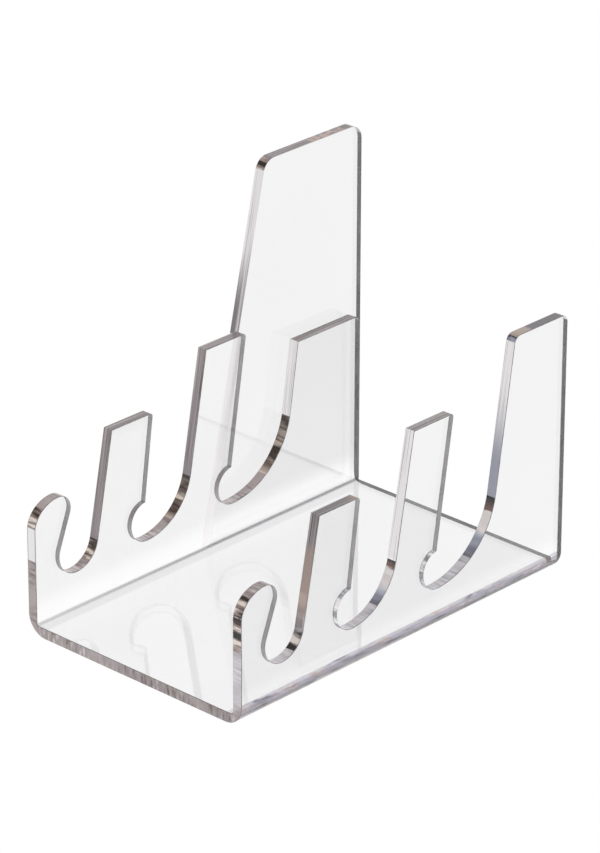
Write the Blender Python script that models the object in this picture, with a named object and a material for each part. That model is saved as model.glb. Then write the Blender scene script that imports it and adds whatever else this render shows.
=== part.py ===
"""Three-slot magazine rack in clear acrylic: a bent tray and a tall side plate."""
import math

import bmesh
import bpy

# Sheet and tray, metres. +X is the right side, -Y the front, +Z up.
SHEET = 0.008            # thickness of the acrylic sheet
WIDTH = 0.203            # outer face to outer face
DEPTH = 0.3245           # front edge to rear edge
BEND_OUTER = 0.0155      # outside radius of the two heat bends
BEND_INNER = 0.0015      # inside radius: a tight crease that thins the sheet
BEND_STEPS = 12

# Front hook.
HOOK_TOP = 0.0978        # height of the hook
HOOK_RISE = 0.0194       # height of its rounded front shoulder
HOOK_TIP_Y = 0.0229      # depth of the tip's centre behind the front edge
HOOK_TIP_R = 0.0113
HOOK_TIP_TURN = 20       # degrees the tip turns past vertical

# Slots: depth and height of the round bottom's centre, its radius, the radius
# of the long curve behind it, and the lean of the edge above, in degrees.
SLOT_1 = (0.0387, 0.0514, 0.0160, 0.0209, 11.0)
SLOT_2 = (0.1071, 0.0500, 0.0149, 0.0446, 10.3)
SLOT_3 = (0.1931, 0.0483, 0.0143, 0.0600, 8.7)
NOTCH_ANGLE = 95         # where a finger's back edge meets the round bottom

# Fingers between the slots: top height and lean of the back edge, in degrees.
FINGER_1 = (0.1306, 7.5)
FINGER_2 = (0.1611, 9.0)
FINGER_CORNER_R = 0.0025  # rounded back corner of a finger's top

# Rear fingers: top height, and radius of the front and back corners.
LEFT_REAR = (0.1377, 0.0, 0.0045)       # short, backed by the tall plate
RIGHT_REAR = (0.1977, 0.0060, 0.0060)

# Tall plate bonded to the outside of the left side, down to the table.
BOND_GAP = 0.0003
PLATE_TOP = 0.2810
PLATE_BACK = 0.3345
PLATE_FOOT_FRONT = 0.1724
PLATE_LEAN = 12.7        # lean of the front edge, in degrees
PLATE_CORNER_R = 0.0110
PLATE_FOOT_R = 0.0030

ARC_STEPS = 12
SHARP_ANGLE = 25         # edges that turn more than this stay crisp


def arc(centre, radius, start, end, steps=ARC_STEPS):
    """Points on an arc, angles in degrees."""
    angles = [math.radians(start + (end - start) * i / steps) for i in range(steps + 1)]
    return [(centre[0] + radius * math.cos(a), centre[1] + radius * math.sin(a)) for a in angles]


def lean_to(point, height, degrees):
    """End of an edge that leans back from a point up to a height."""
    rise = height - point[1]
    return (point[0] + rise * math.tan(math.radians(degrees)), height)


def rounded(points, radii):
    """Closed outline with each corner replaced by an arc of its own radius."""
    out = []
    count = len(points)
    for i, (corner, radius) in enumerate(zip(points, radii)):
        if radius <= 0:
            out.append(corner)
            continue
        arms = []
        for other in (points[i - 1], points[(i + 1) % count]):
            dy, dz = other[0] - corner[0], other[1] - corner[1]
            length = math.hypot(dy, dz)
            arms.append((dy / length, dz / length))
        half = math.acos(arms[0][0] * arms[1][0] + arms[0][1] * arms[1][1]) / 2
        middle = (arms[0][0] + arms[1][0], arms[0][1] + arms[1][1])
        reach = radius / math.sin(half) / math.hypot(*middle)
        centre = (corner[0] + middle[0] * reach, corner[1] + middle[1] * reach)
        cut = radius / math.tan(half)
        ends = [(corner[0] + a[0] * cut, corner[1] + a[1] * cut) for a in arms]
        start, end = [math.degrees(math.atan2(e[1] - centre[1], e[0] - centre[0])) for e in ends]
        turn = (end - start + 180) % 360 - 180
        out += arc(centre, radius, start, start + turn, 8)
    return out


def slot(spec, first_angle):
    """Round bottom of a slot, then the long curve up to its leaning edge."""
    y, z, radius, long_radius, lean = spec
    bottom = arc((y, z), radius, first_angle, 270)
    back = arc((y, z - radius + long_radius), long_radius, 270, 360 - lean)
    return bottom + back[1:]


def finger(front_spec, top, back_spec):
    """Flat-topped finger: leaning front edge, top, back edge and the slot behind it."""
    height, back_lean = top
    front_start = slot(front_spec, NOTCH_ANGLE)[-1]
    behind = slot(back_spec, NOTCH_ANGLE)
    corners = [front_start, lean_to(front_start, height, front_spec[4]),
               lean_to(behind[0], height, back_lean), behind[0]]
    return rounded(corners, [0, 0, FINGER_CORNER_R, 0])[1:-1] + behind


def side_outline(rear_finger):
    """Outline of one side above its bend, from the front edge round to the rear edge."""
    shoulder = [(HOOK_TIP_Y * (1 - math.cos(a)), HOOK_TOP - HOOK_RISE * (1 - math.sin(a)))
                for a in [math.radians(90 * i / ARC_STEPS) for i in range(ARC_STEPS + 1)]]
    tip = arc((HOOK_TIP_Y, HOOK_TOP - HOOK_TIP_R), HOOK_TIP_R, 90, -HOOK_TIP_TURN)
    outline = [(0.0, BEND_OUTER)] + shoulder + tip[1:]
    outline += slot(SLOT_1, 180 - HOOK_TIP_TURN)
    outline += finger(SLOT_1, FINGER_1, SLOT_2)
    outline += finger(SLOT_2, FINGER_2, SLOT_3)
    base = outline[-1]
    top, front_r, back_r = rear_finger
    rear = [base, lean_to(base, top, SLOT_3[4]), (DEPTH, top), (DEPTH, BEND_OUTER)]
    return outline[:-1] + rounded(rear, [0, front_r, back_r, 0])


def plate_outline():
    """Outline of the tall plate, in depth from the rack's front edge and height."""
    foot = (PLATE_FOOT_FRONT, 0.0)
    corners = [foot, lean_to(foot, PLATE_TOP, PLATE_LEAN), (PLATE_BACK, PLATE_TOP),
               (PLATE_BACK, 0.0)]
    return rounded(corners, [PLATE_FOOT_R, PLATE_CORNER_R, PLATE_CORNER_R, PLATE_FOOT_R])


def clear_acrylic(name):
    """Material of one sub-part."""
    material = bpy.data.materials.new(name)
    material.use_nodes = True
    shader = material.node_tree.nodes["Principled BSDF"]
    shader.inputs["Base Color"].default_value = (0.93, 0.94, 0.95, 1.0)
    shader.inputs["Roughness"].default_value = 0.03
    shader.inputs["IOR"].default_value = 1.49
    shader.inputs["Transmission Weight"].default_value = 1.0
    shader.inputs["Alpha"].default_value = 0.3
    return material


def add_object(name, bm):
    """Turn a finished mesh into a named object with its material."""
    bmesh.ops.recalc_face_normals(bm, faces=bm.faces)
    mesh = bpy.data.meshes.new(name)
    bm.to_mesh(mesh)
    bm.free()
    mesh.materials.append(clear_acrylic(name + "_acrylic"))
    mesh.shade_smooth()
    mesh.set_sharp_from_angle(angle=math.radians(SHARP_ANGLE))
    obj = bpy.data.objects.new(name, mesh)
    bpy.context.scene.collection.objects.link(obj)
    return obj


def bend_outlines():
    """Outside and inside of a bend, in x and height, with as many points on each."""
    outer = arc((WIDTH / 2 - BEND_OUTER, BEND_OUTER), BEND_OUTER, 0, -90, BEND_STEPS)
    corner = (WIDTH / 2 - SHEET - BEND_INNER, SHEET + BEND_INNER)
    inner = [(WIDTH / 2 - SHEET, BEND_OUTER)]
    inner += arc(corner, BEND_INNER, 0, -90, BEND_STEPS - 2)
    inner += [(WIDTH / 2 - BEND_OUTER, SHEET)]
    return outer, inner


def point(x, yz):
    """Place an outline point; the rack is centred over the origin."""
    return (x, yz[0] - DEPTH / 2, yz[1])


def build_tray():
    """One sheet bent up at both sides, every side cut to its own outline."""
    bm = bmesh.new()
    sides = {}
    for sign, rear_finger in ((-1, LEFT_REAR), (1, RIGHT_REAR)):
        outline = side_outline(rear_finger)
        loops = []
        for x in (sign * WIDTH / 2, sign * (WIDTH / 2 - SHEET)):
            loops.append([bm.verts.new(point(x, p)) for p in outline])
            bm.faces.new(loops[-1])
        outer, inner = loops
        for i in range(len(outline) - 1):
            bm.faces.new((outer[i], outer[i + 1], inner[i + 1], inner[i]))
        sides[sign] = (outer, inner)

    def bend_section(sign, front):
        """Pairs of outer and inner vertices round one bend at one end."""
        end = 0 if front else -1
        pairs = [(sides[sign][0][end], sides[sign][1][end])]
        y = 0.0 if front else DEPTH
        for outer_xz, inner_xz in list(zip(*bend_outlines()))[1:]:
            pairs.append(tuple(bm.verts.new(point(sign * x, (y, z)))
                               for x, z in (outer_xz, inner_xz)))
        return pairs

    ends = []
    for front in (True, False):
        left = bend_section(-1, front)
        right = bend_section(1, front)
        ends.append(left + right[::-1])
    front, rear = ends
    for i in range(len(front) - 1):
        for layer in (0, 1):
            bm.faces.new((front[i][layer], front[i + 1][layer],
                          rear[i + 1][layer], rear[i][layer]))
        for section in (front, rear):
            bm.faces.new((section[i][0], section[i + 1][0],
                          section[i + 1][1], section[i][1]))
    return add_object("bent_tray", bm)


def build_plate():
    """Tall tapered plate with rounded corners."""
    bm = bmesh.new()
    outline = plate_outline()
    inner_x = -WIDTH / 2 - BOND_GAP
    loops = [[bm.verts.new(point(x, p)) for p in outline] for x in (inner_x, inner_x - SHEET)]
    for loop in loops:
        bm.faces.new(loop)
    count = len(outline)
    for i in range(count):
        j = (i + 1) % count
        bm.faces.new((loops[0][i], loops[0][j], loops[1][j], loops[1][i]))
    return add_object("tall_plate", bm)


for old in list(bpy.data.objects):
    bpy.data.objects.remove(old, do_unlink=True)
build_tray()
build_plate()
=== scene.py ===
"""Clear acrylic magazine rack: bent tray with slotted sides and a tall side plate."""

import math

import bmesh
import bpy
from mathutils import Matrix, Vector


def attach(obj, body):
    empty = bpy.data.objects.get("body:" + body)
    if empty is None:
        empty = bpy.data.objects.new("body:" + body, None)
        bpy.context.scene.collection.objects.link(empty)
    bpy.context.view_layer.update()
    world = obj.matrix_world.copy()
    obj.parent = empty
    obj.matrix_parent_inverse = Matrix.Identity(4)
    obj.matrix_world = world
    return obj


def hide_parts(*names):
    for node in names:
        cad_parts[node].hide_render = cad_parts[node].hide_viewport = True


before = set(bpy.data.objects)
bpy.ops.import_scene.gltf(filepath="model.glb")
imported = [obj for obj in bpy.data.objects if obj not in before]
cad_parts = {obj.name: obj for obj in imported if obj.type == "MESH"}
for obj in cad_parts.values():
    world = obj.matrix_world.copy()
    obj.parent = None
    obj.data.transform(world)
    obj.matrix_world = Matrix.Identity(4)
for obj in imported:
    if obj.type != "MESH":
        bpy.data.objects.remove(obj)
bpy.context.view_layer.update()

# Tray dimensions, metres, the same as the CAD's.
SHEET = 0.008
WIDTH = 0.203
DEPTH = 0.3245
BEND_OUTER = 0.0155
BEND_INNER = 0.0015
BEND_STEPS = 24

HOOK_TOP = 0.0978
HOOK_RISE = 0.0194
HOOK_TIP_Y = 0.0229
HOOK_TIP_R = 0.0113
HOOK_TIP_TURN = 20

SLOT_1 = (0.0387, 0.0514, 0.0160, 0.0209, 11.0)
SLOT_2 = (0.1071, 0.0500, 0.0149, 0.0446, 10.3)
SLOT_3 = (0.1931, 0.0483, 0.0143, 0.0600, 8.7)
NOTCH_ANGLE = 95

FINGER_1 = (0.1306, 7.5)
FINGER_2 = (0.1611, 9.0)
FINGER_CORNER_R = 0.0025
LEFT_REAR = (0.1377, 0.0, 0.0045)
RIGHT_REAR = (0.1977, 0.0060, 0.0060)

BOND_GAP = 0.0003
PLATE_TOP = 0.2810
PLATE_BACK = 0.3345
PLATE_FOOT_FRONT = 0.1724
PLATE_LEAN = 12.7
PLATE_CORNER_R = 0.0110
PLATE_FOOT_R = 0.0030

ARC_STEPS = 28
EDGE_BREAK = 0.00035     # scraped corner along every cut edge
SHARP_ANGLE = 50         # edges that turn more than this stay crisp
CORNER_STEPS = 12        # steps round each small rounded corner


# ---------------------------------------------------------------- outlines

def arc(centre, radius, start, end, steps=ARC_STEPS):
    """Points on an arc, angles in degrees."""
    angles = [math.radians(start + (end - start) * i / steps) for i in range(steps + 1)]
    return [(centre[0] + radius * math.cos(a), centre[1] + radius * math.sin(a)) for a in angles]


def lean_to(point, height, degrees):
    """End of an edge that leans back from a point up to a height."""
    rise = height - point[1]
    return (point[0] + rise * math.tan(math.radians(degrees)), height)


def rounded(points, radii):
    """Closed outline with each corner replaced by an arc of its own radius."""
    out = []
    count = len(points)
    for i, (corner, radius) in enumerate(zip(points, radii)):
        if radius <= 0:
            out.append(corner)
            continue
        arms = []
        for other in (points[i - 1], points[(i + 1) % count]):
            dy, dz = other[0] - corner[0], other[1] - corner[1]
            length = math.hypot(dy, dz)
            arms.append((dy / length, dz / length))
        half = math.acos(arms[0][0] * arms[1][0] + arms[0][1] * arms[1][1]) / 2
        middle = (arms[0][0] + arms[1][0], arms[0][1] + arms[1][1])
        reach = radius / math.sin(half) / math.hypot(*middle)
        centre = (corner[0] + middle[0] * reach, corner[1] + middle[1] * reach)
        cut = radius / math.tan(half)
        ends = [(corner[0] + a[0] * cut, corner[1] + a[1] * cut) for a in arms]
        start, end = [math.degrees(math.atan2(e[1] - centre[1], e[0] - centre[0])) for e in ends]
        turn = (end - start + 180) % 360 - 180
        out += arc(centre, radius, start, start + turn, CORNER_STEPS)
    return out


def slot(spec, first_angle):
    """Round bottom of a slot, then the long curve up to its leaning edge."""
    y, z, radius, long_radius, lean = spec
    bottom = arc((y, z), radius, first_angle, 270)
    back = arc((y, z - radius + long_radius), long_radius, 270, 360 - lean)
    return bottom + back[1:]


def finger(front_spec, top, back_spec):
    """Flat-topped finger: leaning front edge, top, back edge and the slot behind it."""
    height, back_lean = top
    front_start = slot(front_spec, NOTCH_ANGLE)[-1]
    behind = slot(back_spec, NOTCH_ANGLE)
    corners = [front_start, lean_to(front_start, height, front_spec[4]),
               lean_to(behind[0], height, back_lean), behind[0]]
    return rounded(corners, [0, 0, FINGER_CORNER_R, 0])[1:-1] + behind


def side_outline(rear_finger):
    """Outline of one side above its bend, from the front edge round to the rear edge."""
    shoulder = [(HOOK_TIP_Y * (1 - math.cos(a)), HOOK_TOP - HOOK_RISE * (1 - math.sin(a)))
                for a in [math.radians(90 * i / ARC_STEPS) for i in range(ARC_STEPS + 1)]]
    tip = arc((HOOK_TIP_Y, HOOK_TOP - HOOK_TIP_R), HOOK_TIP_R, 90, -HOOK_TIP_TURN)
    outline = [(0.0, BEND_OUTER)] + shoulder + tip[1:]
    outline += slot(SLOT_1, 180 - HOOK_TIP_TURN)
    outline += finger(SLOT_1, FINGER_1, SLOT_2)
    outline += finger(SLOT_2, FINGER_2, SLOT_3)
    base = outline[-1]
    top, front_r, back_r = rear_finger
    rear = [base, lean_to(base, top, SLOT_3[4]), (DEPTH, top), (DEPTH, BEND_OUTER)]
    return outline[:-1] + rounded(rear, [0, front_r, back_r, 0])


def plate_outline():
    """Outline of the tall plate, in depth from the rack's front edge and height."""
    foot = (PLATE_FOOT_FRONT, 0.0)
    corners = [foot, lean_to(foot, PLATE_TOP, PLATE_LEAN), (PLATE_BACK, PLATE_TOP),
               (PLATE_BACK, 0.0)]
    return rounded(corners, [PLATE_FOOT_R, PLATE_CORNER_R, PLATE_CORNER_R, PLATE_FOOT_R])


def bend_outlines():
    """Outside and inside of a bend, in x and height, with as many points on each."""
    outer = arc((WIDTH / 2 - BEND_OUTER, BEND_OUTER), BEND_OUTER, 0, -90, BEND_STEPS)
    corner = (WIDTH / 2 - SHEET - BEND_INNER, SHEET + BEND_INNER)
    inner = [(WIDTH / 2 - SHEET, BEND_OUTER)]
    inner += arc(corner, BEND_INNER, 0, -90, BEND_STEPS - 2)
    inner += [(WIDTH / 2 - BEND_OUTER, SHEET)]
    return outer, inner


def place(x, yz):
    """Outline point in the rack's frame, which is centred over the base."""
    return (x, yz[0] - DEPTH / 2, yz[1])


# ------------------------------------------------------------------ shapes

# Material indices: each marks a surface finish and also a zone of painted reflections and shade.
FACE, SATIN, SAWN, LINED, FLAME, CLEAR, BACK, DARK, PALE, ARRIS = range(10)
HOOK_PATCH = (0.056, 0.088)      # heights between which the hooks' fronts differ in their painted reflections
PLATE_PALE_TO = 0.1565           # below this the tray covers the plate's front edge

# Upward part of a cut edge's normal, above which its finish is another.
LEVEL = 0.82                     # tops, and the bottoms of the slots
CURVED = 0.21                    # curves behind the slots
LEANING = 0.10                   # straight front edges of the fingers
# Depths behind the front edge, beyond which the leaning edges are clear.
CLEAR_FROM_LEFT = 0.22
CLEAR_FROM_RIGHT = 0.13
SLOT_2_FROM = 0.06               # depth behind which slots 2 and 3 lie
HOOK_FRONT = 0.01                # depth of the hooks' upright front edges


def split_at_height(bm, height):
    """Cut the faces at a height, so that their finish and painted reflections can change there.
    """
    geometry = bm.verts[:] + bm.edges[:] + bm.faces[:]
    bmesh.ops.bisect_plane(bm, geom=geometry, plane_co=(0, 0, height), plane_no=(0, 0, 1))


def build_tray():
    """The bent sheet, with a side at each end of its base."""
    bm = bmesh.new()
    sides = {}

    def face(verts, index):
        bm.faces.new(verts).material_index = index

    for sign, rear_finger in ((-1, LEFT_REAR), (1, RIGHT_REAR)):
        outline = side_outline(rear_finger)
        loops = []
        for x in (sign * WIDTH / 2, sign * (WIDTH / 2 - SHEET)):
            loops.append([bm.verts.new(place(x, p)) for p in outline])
            face(loops[-1], FACE)
        outer, inner = loops
        for i in range(len(outline) - 1):
            face((outer[i], outer[i + 1], inner[i + 1], inner[i]), SATIN)
        sides[sign] = (outer, inner)

    def bend_section(sign, front):
        end = 0 if front else -1
        pairs = [(sides[sign][0][end], sides[sign][1][end])]
        y = 0.0 if front else DEPTH
        for outer_xz, inner_xz in list(zip(*bend_outlines()))[1:]:
            pairs.append(tuple(bm.verts.new(place(sign * x, (y, z)))
                               for x, z in (outer_xz, inner_xz)))
        return pairs

    front, rear = [bend_section(-1, end) + bend_section(1, end)[::-1] for end in (True, False)]
    for i in range(len(front) - 1):
        for layer in (0, 1):
            face((front[i][layer], front[i + 1][layer],
                  rear[i + 1][layer], rear[i][layer]), FACE)
        for section in (front, rear):
            face((section[i][0], section[i + 1][0],
                  section[i + 1][1], section[i][1]), SATIN)
    split_at_height(bm, HOOK_PATCH[0])
    return bm


def build_plate():
    """Tall tapered plate."""
    bm = bmesh.new()
    outline = plate_outline()
    inner_x = -WIDTH / 2 - BOND_GAP
    loops = [[bm.verts.new(place(x, p)) for p in outline] for x in (inner_x, inner_x - SHEET)]
    for loop in loops:
        bm.faces.new(loop).material_index = FACE
    count = len(outline)
    for i in range(count):
        j = (i + 1) % count
        corners = (loops[0][i], loops[0][j], loops[1][j], loops[1][i])
        bm.faces.new(corners).material_index = SATIN
    split_at_height(bm, PLATE_PALE_TO)
    return bm


def tray_edge_finish_and_reflection(centre, normal):
    """Finish of a stretch of the tray's cut edge, with the zone of painted reflections and shade
    it falls in.
    """
    forward, up = -normal.y, normal.z
    depth = centre.y + DEPTH / 2
    right = centre.x > 0
    # painted shade: the rear end edges are near black
    if depth > DEPTH - SHEET and forward < -0.98:
        return DARK
    if forward < -0.05 and up < LEVEL:
        round_bottom = abs(up + 0.15) > 0.06     # the leaning back edges stay near -0.15
        return FLAME if round_bottom and right and depth > SLOT_2_FROM else BACK
    if up > LEVEL:
        return LINED if centre.z > HOOK_TOP else SATIN
    if up > CURVED:
        return FLAME
    if up > LEANING:
        return CLEAR if depth > (CLEAR_FROM_RIGHT if right else CLEAR_FROM_LEFT) else LINED
    if depth < HOOK_FRONT and HOOK_PATCH[0] < centre.z < HOOK_PATCH[1]:
        return FLAME if right else CLEAR
    return SAWN if centre.z < BEND_OUTER / 2 else SATIN


def plate_edge_finish_and_reflection(centre, normal):
    """Finish and painted reflection of a stretch of the plate's cut edge: pale with faint painted
    light where the tray covers it.
    """
    # painted shade: the plate's rear edge is near black
    if normal.y > 0.9:
        return DARK
    # painted light: the pale edge on the plate's foot
    if centre.z < PLATE_PALE_TO:
        return PALE
    if -normal.y > 0.30:
        return FLAME if normal.z > 0.35 else CLEAR
    return LINED


def finish_edges(bm, edge_finish_and_reflection):
    """Give each cut face its finish and painted reflections, then break its corners with the
    polished faces.
    """
    bmesh.ops.recalc_face_normals(bm, faces=bm.faces)
    for face in bm.faces:
        if face.material_index == SATIN:
            face.material_index = edge_finish_and_reflection(face.calc_center_median(), face.normal)
    plain = {FACE, PALE}
    corners = [e for e in bm.edges if len(e.link_faces) == 2
               and FACE in {f.material_index for f in e.link_faces}
               and {f.material_index for f in e.link_faces} - plain]
    bmesh.ops.bevel(bm, geom=corners, offset=EDGE_BREAK, offset_type="OFFSET", segments=2,
                    profile=0.5, affect="EDGES", clamp_overlap=True, material=ARRIS)


def add_piece(name, bm, edge_finish_and_reflection, node, materials):
    """Turn a finished mesh into a piece that stands for its CAD node."""
    finish_edges(bm, edge_finish_and_reflection)
    mesh = bpy.data.meshes.new(name)
    bm.to_mesh(mesh)
    bm.free()
    for material in materials:
        mesh.materials.append(material)
    mesh.shade_smooth()
    mesh.set_sharp_from_angle(angle=math.radians(SHARP_ANGLE))
    piece = bpy.data.objects.new(name, mesh)
    bpy.context.scene.collection.objects.link(piece)
    flatten = piece.modifiers.new("flat_faces_stay_flat", "WEIGHTED_NORMAL")
    flatten.weight = 100
    flatten.keep_sharp = True
    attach(piece, "root")
    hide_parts(node)
    piece.visible_shadow = False     # the floor stays evenly white round the rack
    piece.visible_diffuse = False


# --------------------------------------------------------------- materials
#
# The greys, bands and gradients that bends and cut edges show are painted reflections,
# highlights and shade, put on by position in the rack's own frame: they stay where they
# are in any light or view.
# A helper's owner is the material or world whose nodes it adds to.

INNER_X = WIDTH / 2 - SHEET      # inner face of the right side


def new_acrylic(name, roughness, transmission):
    """Clear acrylic with its own roughness and share of light passing through."""
    material = bpy.data.materials.new(name)
    material.use_nodes = True
    shader = material.node_tree.nodes["Principled BSDF"]
    shader.inputs["Roughness"].default_value = roughness
    shader.inputs["IOR"].default_value = 1.49
    shader.inputs["Transmission Weight"].default_value = transmission
    return material, shader


def paint(material, shader, colour):
    """Give the shader its base colour."""
    material.node_tree.links.new(colour, shader.inputs["Base Color"])
    return material


def rack_coordinates(material):
    """Outputs X, Y and Z of a point in the rack's own frame."""
    nodes, links = material.node_tree.nodes, material.node_tree.links
    coords = nodes.new("ShaderNodeTexCoord")
    split = nodes.new("ShaderNodeSeparateXYZ")
    links.new(coords.outputs["Object"], split.inputs["Vector"])
    return split.outputs


def stretched_noise(material, scale, detail):
    """Noise in the rack's own frame, stretched by a scale for each axis."""
    nodes, links = material.node_tree.nodes, material.node_tree.links
    coords = nodes.new("ShaderNodeTexCoord")
    squeeze = nodes.new("ShaderNodeMapping")
    squeeze.inputs["Scale"].default_value = scale
    noise = nodes.new("ShaderNodeTexNoise")
    noise.inputs["Scale"].default_value = 1.0
    noise.inputs["Detail"].default_value = detail
    links.new(coords.outputs["Object"], squeeze.inputs["Vector"])
    links.new(squeeze.outputs["Vector"], noise.inputs["Vector"])
    return noise.outputs["Fac"]


def colour_ramp(material, factor, stops):
    """Colour picked by a factor from stops of position and colour."""
    nodes, links = material.node_tree.nodes, material.node_tree.links
    ramp = nodes.new("ShaderNodeValToRGB")
    elements = ramp.color_ramp.elements
    for element, (position, colour) in zip(elements, (stops[0], stops[-1])):
        element.position = position
        element.color = (*colour, 1.0)
    for position, colour in stops[1:-1]:
        elements.new(position).color = (*colour, 1.0)
    links.new(factor, ramp.inputs["Fac"])
    return ramp.outputs["Color"]


def fade(owner, value, start, end):
    """Smooth step of a value, from 0 at start to 1 at end."""
    nodes, links = owner.node_tree.nodes, owner.node_tree.links
    step = nodes.new("ShaderNodeMapRange")
    step.interpolation_type = "SMOOTHSTEP"
    step.inputs["From Min"].default_value = start
    step.inputs["From Max"].default_value = end
    links.new(value, step.inputs["Value"])
    return step.outputs["Result"]


def combine(owner, operation, first, second=0.0):
    """One maths node; the second value may be a plain number."""
    nodes, links = owner.node_tree.nodes, owner.node_tree.links
    node = nodes.new("ShaderNodeMath")
    node.operation = operation
    links.new(first, node.inputs[0])
    if isinstance(second, float):
        node.inputs[1].default_value = second
    else:
        links.new(second, node.inputs[1])
    return node.outputs[0]


def multiply(owner, product, *factors):
    """Product of several values."""
    for factor in factors:
        product = combine(owner, "MULTIPLY", product, factor)
    return product


def mix_colours(owner, factor, first, second):
    """Blend of two colours by a factor."""
    nodes, links = owner.node_tree.nodes, owner.node_tree.links
    mix = nodes.new("ShaderNodeMix")
    mix.data_type = "RGBA"
    links.new(factor, mix.inputs["Factor"])
    for colour, socket in ((first, "A"), (second, "B")):
        if isinstance(colour, tuple):
            mix.inputs[socket].default_value = (*colour, 1.0)
        else:
            links.new(colour, mix.inputs[socket])
    return mix.outputs["Result"]


def add_bump(material, shader, height, strength, distance):
    """Surface relief from a height."""
    nodes, links = material.node_tree.nodes, material.node_tree.links
    bump = nodes.new("ShaderNodeBump")
    bump.inputs["Strength"].default_value = strength
    bump.inputs["Distance"].default_value = distance
    links.new(height, bump.inputs["Height"])
    links.new(bump.outputs["Normal"], shader.inputs["Normal"])


def painted_reflection_cool_side(material):
    """0 on the left, 1 on the right behind the hook, where the edges' painted reflections are
    cooler.
    """
    x, y, _ = rack_coordinates(material)
    return multiply(material, fade(material, x, -0.02, 0.04), fade(material, y, -0.13, -0.07))


def edge_with_painted_reflections(name, roughness, transmission, pattern, warm_stops, cool_stops):
    """Edge whose pattern picks a warm painted-reflection colour, or a cool one towards the right
    rear.
    """
    material, shader = new_acrylic(name, roughness, transmission)
    factor = stretched_noise(material, *pattern)
    colour = mix_colours(material, painted_reflection_cool_side(material),
                         colour_ramp(material, factor, warm_stops),
                         colour_ramp(material, factor, cool_stops))
    return material, shader, factor, colour


def distance_from_crease(material, sideways, z):
    """Distance from the line along the inside corner of a bend."""
    inwards = combine(material, "SUBTRACT", sideways, INNER_X)
    upwards = combine(material, "SUBTRACT", z, SHEET)
    squares = combine(material, "ADD", multiply(material, inwards, inwards),
                      multiply(material, upwards, upwards))
    return combine(material, "SQRT", squares)


def acrylic_face():
    """Polished sheet, with painted reflections greying it round the bends, a painted highlight
    strip above them and a painted shade line in each crease.
    """
    material, shader = new_acrylic("acrylic_face", 0.0, 1.0)
    tone = stretched_noise(material, (6.0, 6.0, 6.0), 1.0)
    colour = colour_ramp(material, tone, [(0.3, (0.885, 0.884, 0.888)),
                                          (0.7, (0.905, 0.905, 0.908))])
    x, y, z = rack_coordinates(material)
    sideways = combine(material, "ABSOLUTE", x)

    # painted highlight: a near-white strip low on each side, just above its bend
    painted_highlight_strip = multiply(material, fade(material, z, 0.032, 0.014),
                            fade(material, sideways, INNER_X - 0.002, INNER_X))
    colour = mix_colours(material, painted_highlight_strip, colour, (0.99, 0.99, 0.99))

    bend_start, bend_full = WIDTH / 2 - 0.0160, WIDTH / 2 - 0.0120
    # painted reflection: mid grey over the left bend
    left_bend_painted_reflection = multiply(material, fade(material, z, 0.0090, 0.0040),
                         fade(material, x, -bend_start, -bend_full))
    colour = mix_colours(material, left_bend_painted_reflection, colour, (0.70, 0.69, 0.71))

    # painted reflection: a streaked band of dark, grey, brown and pale round the right bend
    right_bend_painted_reflection = multiply(material, fade(material, z, 0.0150, 0.0136),
                          fade(material, x, bend_start, bend_full))
    streaks = stretched_noise(material, (300.0, 38.0, 300.0), 2.0)
    band = colour_ramp(material, streaks, [
        (0.35, (0.05, 0.05, 0.07)), (0.40, (0.38, 0.36, 0.42)), (0.58, (0.56, 0.53, 0.60)),
        (0.63, (0.42, 0.28, 0.20)), (0.68, (0.80, 0.78, 0.82))])
    colour = mix_colours(material, right_bend_painted_reflection, colour, band)

    # painted shade: a dark grey line along the inside corner of each bend
    crease = multiply(material,
                      fade(material, distance_from_crease(material, sideways, z), 0.0022, 0.0008),
                      fade(material, y, -0.40, 0.02))
    colour = mix_colours(material, crease, colour, (0.25, 0.245, 0.25))
    return paint(material, shader, colour)


def acrylic_marked(name, stretch):
    """Sawn and lightly polished edge with fine marks across the thickness; its smoky browns,
    greys and blues are painted reflections.
    """
    warm = [(0.32, (0.19, 0.145, 0.13)), (0.42, (0.36, 0.305, 0.30)),
            (0.58, (0.47, 0.42, 0.43)), (0.68, (0.74, 0.69, 0.67))]
    cool = [(0.34, (0.15, 0.16, 0.20)), (0.44, (0.34, 0.35, 0.41)),
            (0.56, (0.46, 0.47, 0.54)), (0.68, (0.76, 0.78, 0.84))]
    material, shader, marks, colour = edge_with_painted_reflections(name, 0.16, 0.25, (stretch, 4.0), warm, cool)
    # painted reflections: pale brown blotches
    reflection_patches = fade(material, stretched_noise(material, (40.0, 60.0, 60.0), 2.0), 0.45, 0.65)
    colour = mix_colours(material, reflection_patches, colour, (0.52, 0.46, 0.455))

    x, _, z = rack_coordinates(material)
    # painted reflection: lavender-white streaks low on the right hook
    right_hook_painted_reflection = multiply(material, fade(material, x, 0.088, 0.093),
                                 fade(material, z, 0.058, 0.050),
                                 fade(material, z, 0.010, 0.018))
    colour = mix_colours(material, multiply(material, right_hook_painted_reflection, marks), colour,
                         (0.92, 0.92, 1.0))
    add_bump(material, shader, marks, 0.25, 0.0005)
    return paint(material, shader, colour)


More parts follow.
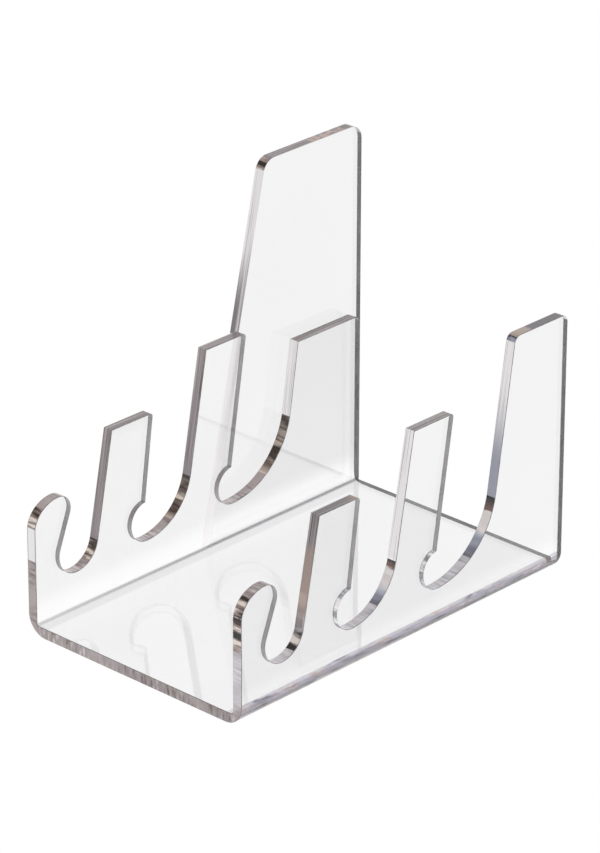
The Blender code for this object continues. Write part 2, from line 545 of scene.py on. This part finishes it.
def acrylic_lined():
    """Straight edge with the cutter's lines running along it, coloured with painted reflections.
    """
    warm = [(0.36, (0.10, 0.085, 0.085)), (0.45, (0.28, 0.245, 0.25)),
            (0.56, (0.33, 0.29, 0.30)), (0.66, (0.52, 0.47, 0.47))]
    cool = [(0.36, (0.10, 0.09, 0.095)), (0.45, (0.23, 0.205, 0.21)),
            (0.56, (0.30, 0.275, 0.285)), (0.66, (0.48, 0.45, 0.46))]
    material, shader, _, colour = edge_with_painted_reflections(
        "acrylic_lined_edge", 0.14, 0.2, ((900.0, 10.0, 10.0), 2.0), warm, cool)
    x, y, z = rack_coordinates(material)

    # painted reflections: mauve to brown blotches
    reflection_patches = fade(material, stretched_noise(material, (8.0, 26.0, 26.0), 1.0), 0.50, 0.66)
    mauve_to_brown = mix_colours(material, fade(material, x, -0.02, 0.02),
                                 (0.30, 0.27, 0.29), (0.40, 0.31, 0.265))
    colour = mix_colours(material, reflection_patches, colour, mauve_to_brown)

    # painted reflection: tan in front, slate grey behind, on the tall finger's top
    tall_finger_top_painted_reflection = multiply(material, fade(material, z, 0.186, 0.192),
                               fade(material, x, 0.0, 0.020))
    tan_to_slate = mix_colours(material, fade(material, y, 0.123, 0.127),
                               (0.50, 0.41, 0.35), (0.17, 0.155, 0.175))
    colour = mix_colours(material, tall_finger_top_painted_reflection, colour, tan_to_slate)

    painted_reflection_speckle = fade(material, stretched_noise(material, (260.0, 260.0, 260.0), 3.0), 0.44, 0.56)
    # painted reflection: tan speckles along the rear of the plate's top
    plate_top_painted_reflection = multiply(material, fade(material, z, 0.272, 0.276),
                                 fade(material, y, 0.118, 0.124),
                                 fade(material, y, 0.158, 0.152))
    colour = mix_colours(material, multiply(material, plate_top_painted_reflection, painted_reflection_speckle), colour,
                         (0.62, 0.46, 0.40))
    return paint(material, shader, colour)


def height_up_curve(material, bands):
    """0 at the bottom of a slot, 1 at the top of the long curve behind it."""
    _, y, z = rack_coordinates(material)
    lowest_slot, curve_top = 0.034, 0.084
    slot_2_stretch = 0.31            # its curve is shorter than slot 3's
    unevenness = 0.012
    wander = multiply(material, combine(material, "SUBTRACT", bands, 0.5), unevenness)
    above = multiply(material, combine(material, "SUBTRACT", z, lowest_slot), slot_2_stretch)
    on_slot_2 = multiply(material, above, fade(material, y, 0.010, 0.002))
    height = combine(material, "ADD", combine(material, "ADD", z, on_slot_2), wander)
    return fade(material, height, lowest_slot - 0.002, curve_top)


def long_curves(material):
    """1 on the long curves behind slots 2 and 3, 0 elsewhere."""
    _, y, z = rack_coordinates(material)
    behind_slot_3 = fade(material, y, 0.029, 0.033)
    behind_slot_2 = multiply(material, fade(material, y, -0.056, -0.052),
                             fade(material, y, 0.012, 0.008))
    behind = combine(material, "ADD", behind_slot_3, behind_slot_2)
    return multiply(material, behind, fade(material, z, 0.110, 0.100))


def acrylic_flame():
    """Curved edge in painted reflection bands from near black to white, in order up each long
    curve.
    """
    warm = [(0.42, (0.012, 0.008, 0.006)), (0.46, (0.075, 0.045, 0.030)),
            (0.50, (0.30, 0.24, 0.21)), (0.55, (0.44, 0.37, 0.34)),
            (0.58, (1.0, 0.90, 0.82))]
    cool = [(0.42, (0.022, 0.024, 0.034)), (0.46, (0.15, 0.16, 0.20)),
            (0.50, (0.38, 0.40, 0.48)), (0.55, (0.56, 0.59, 0.68)),
            (0.58, (0.98, 0.99, 1.00))]
    material, shader, bands, colour = edge_with_painted_reflections(
        "acrylic_flame_edge", 0.08, 0.25, ((30.0, 170.0, 170.0), 4.0), warm, cool)

    height = height_up_curve(material, bands)
    curves = long_curves(material)
    # painted reflections graded up the long curves, warm, then cool towards the right rear
    warm_painted_reflection_grade = colour_ramp(material, height, [
        (0.00, (0.40, 0.36, 0.36)), (0.08, (0.42, 0.38, 0.38)), (0.12, (1.0, 0.90, 0.84)),
        (0.19, (0.80, 0.66, 0.56)), (0.25, (0.09, 0.055, 0.040)), (0.52, (0.040, 0.025, 0.018)),
        (0.58, (1.0, 0.88, 0.76)), (0.63, (0.95, 0.80, 0.66)), (0.67, (0.05, 0.030, 0.022))])
    colour = mix_colours(material, multiply(material, curves, 0.60), colour, warm_painted_reflection_grade)
    cool_painted_reflection_grade = colour_ramp(material, height, [
        (0.00, (0.46, 0.42, 0.43)), (0.06, (0.34, 0.32, 0.34)), (0.11, (0.050, 0.055, 0.075)),
        (0.16, (0.060, 0.066, 0.090)), (0.22, (0.20, 0.22, 0.29)), (0.36, (0.40, 0.44, 0.56)),
        (0.50, (0.66, 0.71, 0.84)), (0.58, (0.98, 0.96, 0.97)), (0.86, (0.98, 0.95, 0.94)),
        (0.885, (0.20, 0.105, 0.065)), (0.95, (0.11, 0.055, 0.040)),
        (0.975, (0.012, 0.012, 0.016))])
    colour = mix_colours(material, multiply(material, painted_reflection_cool_side(material), curves, 0.90),
                         colour, cool_painted_reflection_grade)
    add_bump(material, shader, bands, 0.3, 0.0008)
    return paint(material, shader, colour)


def acrylic_clear():
    """Straight edge polished clear, with faint lines along it, and painted reflections greying it
    lower down.
    """
    material, shader = new_acrylic("acrylic_clear_edge", 0.08, 0.15)
    lines = stretched_noise(material, (1100.0, 9.0, 9.0), 2.0)
    colour = colour_ramp(material, lines, [(0.36, (0.50, 0.49, 0.53)),
                                           (0.44, (0.93, 0.92, 0.96)),
                                           (0.60, (1.0, 1.0, 1.0))])
    x, y, z = rack_coordinates(material)

    plate_inner_x = -WIDTH / 2
    # painted reflections: grey streaks, darker on the outer half, low on the plate's front edge
    streaks = fade(material, stretched_noise(material, (900.0, 14.0, 14.0), 2.0), 0.62, 0.38)
    plate_edge_painted_reflection = multiply(material, fade(material, x, plate_inner_x, plate_inner_x - 0.0010),
                            fade(material, z, 0.222, 0.170))
    colour = mix_colours(material, multiply(material, plate_edge_painted_reflection, streaks), colour,
                         (0.34, 0.31, 0.34))
    outer_half = fade(material, x, plate_inner_x - 0.0020, plate_inner_x - 0.0050)
    colour = mix_colours(material, multiply(material, plate_edge_painted_reflection, outer_half), colour,
                         (0.23, 0.21, 0.23))

    # painted reflection: blue-grey low on the tall finger's front edge
    tall_finger_painted_reflection = multiply(material, fade(material, x, 0.0, WIDTH / 4),
                                  fade(material, y, 0.045, 0.055),
                                  fade(material, z, 0.160, 0.105))
    colour = mix_colours(material, tall_finger_painted_reflection, colour, (0.36, 0.38, 0.46))
    return paint(material, shader, colour)


def plain_edge(name, roughness, transmission, dark, light, size, painted_glow=0.0):
    """Edge of nearly even tone, with painted emitted light if it has to fade into what lies
    behind it.
    """
    material, shader = new_acrylic(name, roughness, transmission)
    shader.inputs["Emission Color"].default_value = (1.0, 1.0, 1.0, 1.0)
    shader.inputs["Emission Strength"].default_value = painted_glow
    tone = stretched_noise(material, (size, size, size), 2.0)
    return paint(material, shader, colour_ramp(material, tone, [(0.35, dark), (0.65, light)]))


def acrylic_finishes_and_painted_reflections():
    """Materials in the order of the face indices, from FACE to ARRIS."""
    return [acrylic_face(),
            acrylic_marked("acrylic_satin_edge", (60.0, 420.0, 420.0)),
            acrylic_marked("acrylic_sawn_edge", (420.0, 60.0, 90.0)),
            acrylic_lined(), acrylic_flame(), acrylic_clear(),
            # painted shade: dark grey on rear-facing edges
            plain_edge("acrylic_back_edge", 0.2, 0.1, (0.13, 0.12, 0.13),
                       (0.22, 0.205, 0.225), 60.0),
            # painted shade: near black on the rear end edges
            plain_edge("acrylic_dark_edge", 0.25, 0.0, (0.030, 0.027, 0.029),
                       (0.085, 0.078, 0.085), 60.0),
            # painted light: near-white edge that gives off faint light so the plate's foot fades
            # into the tray
            plain_edge("acrylic_pale_edge", 0.3, 0.1, (0.96, 0.96, 0.97),
                       (1.0, 1.0, 1.0), 30.0, painted_glow=0.12),
            # painted shade: dark grey lines along the broken corners
            plain_edge("acrylic_arris", 0.35, 0.2, (0.12, 0.11, 0.115),
                       (0.32, 0.30, 0.31), 260.0)]


# ------------------------------------------------------------------- stage

def build_floor():
    """Plain white light table."""
    bpy.ops.mesh.primitive_grid_add(size=8.0, x_subdivisions=2, y_subdivisions=2,
                                    location=(0, 0, -0.0005))
    floor = bpy.context.object
    floor.name = "floor"
    material = bpy.data.materials.new("floor_white")
    material.use_nodes = True
    shader = material.node_tree.nodes["Principled BSDF"]
    shader.inputs["Base Color"].default_value = (0.0, 0.0, 0.0, 1.0)
    shader.inputs["Roughness"].default_value = 1.0
    shader.inputs["Specular IOR Level"].default_value = 0.0
    shader.inputs["Emission Color"].default_value = (1.0, 1.0, 1.0, 1.0)
    shader.inputs["Emission Strength"].default_value = 1.0
    floor.data.materials.append(material)


def build_world():
    """White studio backdrop, with a light brown-grey room above and in front of it."""
    world = bpy.data.worlds.new("studio")
    bpy.context.scene.world = world
    world.use_nodes = True
    nodes, links = world.node_tree.nodes, world.node_tree.links
    coords = nodes.new("ShaderNodeTexCoord")
    split = nodes.new("ShaderNodeSeparateXYZ")
    links.new(coords.outputs["Generated"], split.inputs["Vector"])
    low = fade(world, split.outputs["Z"], 0.25, 0.12)
    behind = fade(world, split.outputs["Y"], 0.0, 0.25)
    white = (1.0, 1.0, 1.0)
    room = mix_colours(world, combine(world, "MAXIMUM", low, behind), (0.72, 0.67, 0.65), white)
    rays = nodes.new("ShaderNodeLightPath")
    seen = mix_colours(world, rays.outputs["Is Camera Ray"], room, white)
    links.new(seen, nodes["Background"].inputs["Color"])


def build_camera():
    """Long lens, from the front right and above."""
    azimuth, elevation, roll = math.radians(43.27), math.radians(24.78), math.radians(0.154)
    across = Vector((math.cos(azimuth), math.sin(azimuth), 0))
    back = Vector((math.sin(azimuth) * math.cos(elevation),
                   -math.cos(azimuth) * math.cos(elevation), math.sin(elevation)))
    up = back.cross(across)
    right = across * math.cos(roll) + up * math.sin(roll)
    top = up * math.cos(roll) - across * math.sin(roll)
    front_centre = Vector((0, -DEPTH / 2, 0))
    # Where the front centre lies in the camera's axes: right, up and back.
    seen_at = Vector((-0.5535, -0.8416, -15.878)) * WIDTH
    camera = bpy.data.objects.new("camera", bpy.data.cameras.new("camera"))
    bpy.context.scene.collection.objects.link(camera)
    camera.matrix_world = Matrix.Translation(
        front_centre - right * seen_at.x - top * seen_at.y - back * seen_at.z) @ Matrix(
        (right, top, back)).transposed().to_4x4()
    camera.data.lens = 201.6367
    camera.data.sensor_width = 36
    camera.data.clip_end = 50
    bpy.context.scene.camera = camera


build_camera()
build_world()
build_floor()
finishes_and_painted_reflections = acrylic_finishes_and_painted_reflections()
add_piece("tray", build_tray(), tray_edge_finish_and_reflection, "bent_tray", finishes_and_painted_reflections)
add_piece("side_plate", build_plate(), plate_edge_finish_and_reflection, "tall_plate", finishes_and_painted_reflections)

scene = bpy.context.scene
scene.view_settings.view_transform = "Standard"
scene.cycles.max_bounces = 24
scene.cycles.transmission_bounces = 24
scene.cycles.glossy_bounces = 12
scene.cycles.transparent_max_bounces = 16
